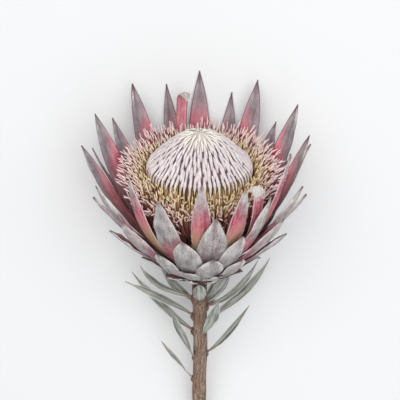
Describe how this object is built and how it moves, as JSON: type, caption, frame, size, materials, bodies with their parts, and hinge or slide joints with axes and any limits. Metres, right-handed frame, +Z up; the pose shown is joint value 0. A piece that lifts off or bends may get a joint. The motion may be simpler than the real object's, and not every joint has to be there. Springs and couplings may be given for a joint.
{
  "type": "king protea flower",
  "caption": "Cut king protea flower that lies on its side, with layered pointed bracts round a ring of open florets and a dome of closed ones, on a leafy woody stem.",
  "frame": {"origin": "centre of the bounding box's footprint, at the level of the surface that the flower lies on", "axes": "+Y along the flower from the stem's cut end towards the head's face, +X to the right as the picture shows the head, +Z up, towards the side that the picture was taken from"},
  "size_m": [0.1614, 0.3286, 0.1402],
  "materials": {
    "bract": "leathery, silvery and downy outside, pink towards the root, dull mauve inside near the tip",
    "curled_bract": "pink, with a white woolly curled tip",
    "leaf": "leathery, grey-green, with a pale edge and midrib",
    "stem": "brown bark with fine cracks and leaf scars",
    "receptacle": "woody cone with silvery downy scale bracts",
    "closed_florets": "soft downy white-pink styles with dark mauve gaps",
    "open_florets": "downy golden to rose stalks with cream tips"
  },
  "bodies": {
    "root": {"bract_01_inner": "bract", "bract_02_inner": "bract", "bract_03_inner": "bract", "bract_04_inner": "bract", "bract_05_inner": "bract", "bract_06_inner": "bract", "bract_07_inner": "bract", "bract_08_inner": "bract", "bract_09_inner": "bract", "bract_10_inner": "bract", "bract_11_inner": "bract", "bract_12_second": "bract", "bract_13_second": "bract", "bract_14_second": "bract", "bract_15_second": "bract", "bract_16_second": "bract", "bract_17_second": "bract", "bract_18_second": "bract", "bract_19_second": "bract", "bract_20_second": "bract", "bract_21_second": "bract", "bract_22_third": "bract", "bract_23_third": "bract", "bract_24_third": "bract", "bract_25_third": "bract", "bract_26_third": "bract", "bract_27_third": "bract", "bract_28_third": "bract", "bract_29_third": "bract", "bract_30_third": "bract", "bract_31_third": "bract", "bract_32_fourth": "bract", "bract_33_fourth": "bract", "bract_34_fourth": "bract", "bract_35_fourth": "bract", "bract_36_fourth": "bract", "bract_37_fourth": "bract", "bract_38_fourth": "bract", "bract_39_curled": "curled_bract", "bract_40_curled": "curled_bract", "closed_florets": "closed_florets", "leaf_01": "leaf", "leaf_02": "leaf", "leaf_03": "leaf", "leaf_04": "leaf", "leaf_05": "leaf", "leaf_06": "leaf", "leaf_07": "leaf", "leaf_08": "leaf", "leaf_09": "leaf", "leaf_10": "leaf", "leaf_11": "leaf", "leaf_12": "leaf", "leaf_13": "leaf", "open_florets": "open_florets", "receptacle": "receptacle", "stem": "stem"}
  },
  "joints": []
}
